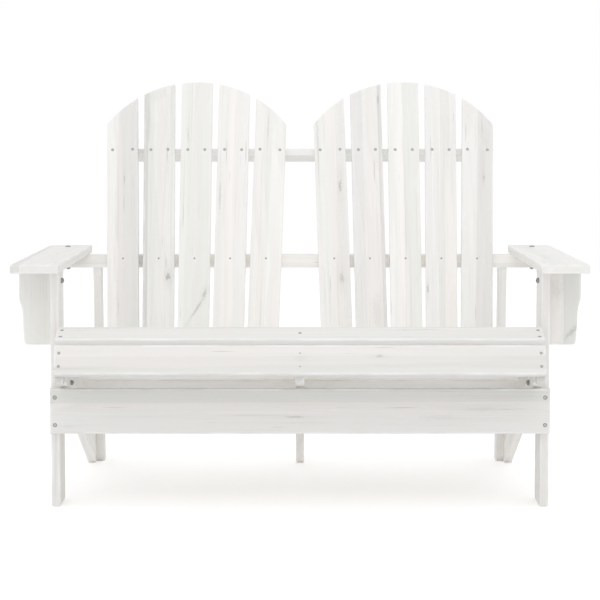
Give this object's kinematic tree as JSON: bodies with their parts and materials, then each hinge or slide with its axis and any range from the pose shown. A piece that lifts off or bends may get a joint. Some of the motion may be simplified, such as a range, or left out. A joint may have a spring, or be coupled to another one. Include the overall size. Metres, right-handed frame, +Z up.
{
  "type": "adirondack loveseat",
  "caption": "Outdoor two-seat wooden adirondack bench with twin arched fan backs, a sloping slatted seat and wide flat arms.",
  "frame": {"origin": "on the floor under the middle of the overall box", "axes": "+X along the width towards the right of someone who faces the seat, +Y from the seat front to the rear, +Z up"},
  "size_m": [1.236, 0.8948, 0.9321],
  "materials": {
    "whitewashed_fir": "fir with a thin white wash, matt, grain and small grey knots showing through",
    "zinc_steel": "dull dark zinc plate on bolts and nuts"
  },
  "bodies": {
    "root": {"seat_rail_left": "whitewashed_fir", "seat_rail_centre": "whitewashed_fir", "seat_rail_right": "whitewashed_fir", "front_leg_left": "whitewashed_fir", "rear_post_left": "whitewashed_fir", "arm_left": "whitewashed_fir", "arm_bracket_left": "whitewashed_fir", "front_leg_right": "whitewashed_fir", "rear_post_right": "whitewashed_fir", "arm_right": "whitewashed_fir", "arm_bracket_right": "whitewashed_fir", "front_stretcher": "whitewashed_fir", "front_apron": "whitewashed_fir", "back_rail_upper": "whitewashed_fir", "back_rail_lower": "whitewashed_fir", "arm_rail": "whitewashed_fir", "seat_slat_1": "whitewashed_fir", "seat_slat_2": "whitewashed_fir", "seat_slat_3": "whitewashed_fir", "seat_slat_4": "whitewashed_fir", "seat_slat_5": "whitewashed_fir", "seat_slat_6": "whitewashed_fir", "seat_slat_7": "whitewashed_fir", "seat_slat_8": "whitewashed_fir", "back_slat_left_1": "whitewashed_fir", "back_slat_left_2": "whitewashed_fir", "back_slat_left_3": "whitewashed_fir", "back_slat_left_4": "whitewashed_fir", "back_slat_left_5": "whitewashed_fir", "back_slat_right_1": "whitewashed_fir", "back_slat_right_2": "whitewashed_fir", "back_slat_right_3": "whitewashed_fir", "back_slat_right_4": "whitewashed_fir", "back_slat_right_5": "whitewashed_fir", "arm_bolt_left": "zinc_steel", "arm_nut_left": "zinc_steel", "bracket_stud_left": "zinc_steel", "bracket_nut_left": "zinc_steel", "leg_bolt_lower_left": "zinc_steel", "leg_nut_lower_left": "zinc_steel", "leg_bolt_upper_left": "zinc_steel", "leg_nut_upper_left": "zinc_steel", "arm_bolt_right": "zinc_steel", "arm_nut_right": "zinc_steel", "bracket_stud_right": "zinc_steel", "bracket_nut_right": "zinc_steel", "leg_bolt_lower_right": "zinc_steel", "leg_nut_lower_right": "zinc_steel", "leg_bolt_upper_right": "zinc_steel", "leg_nut_upper_right": "zinc_steel"}
  },
  "joints": []
}
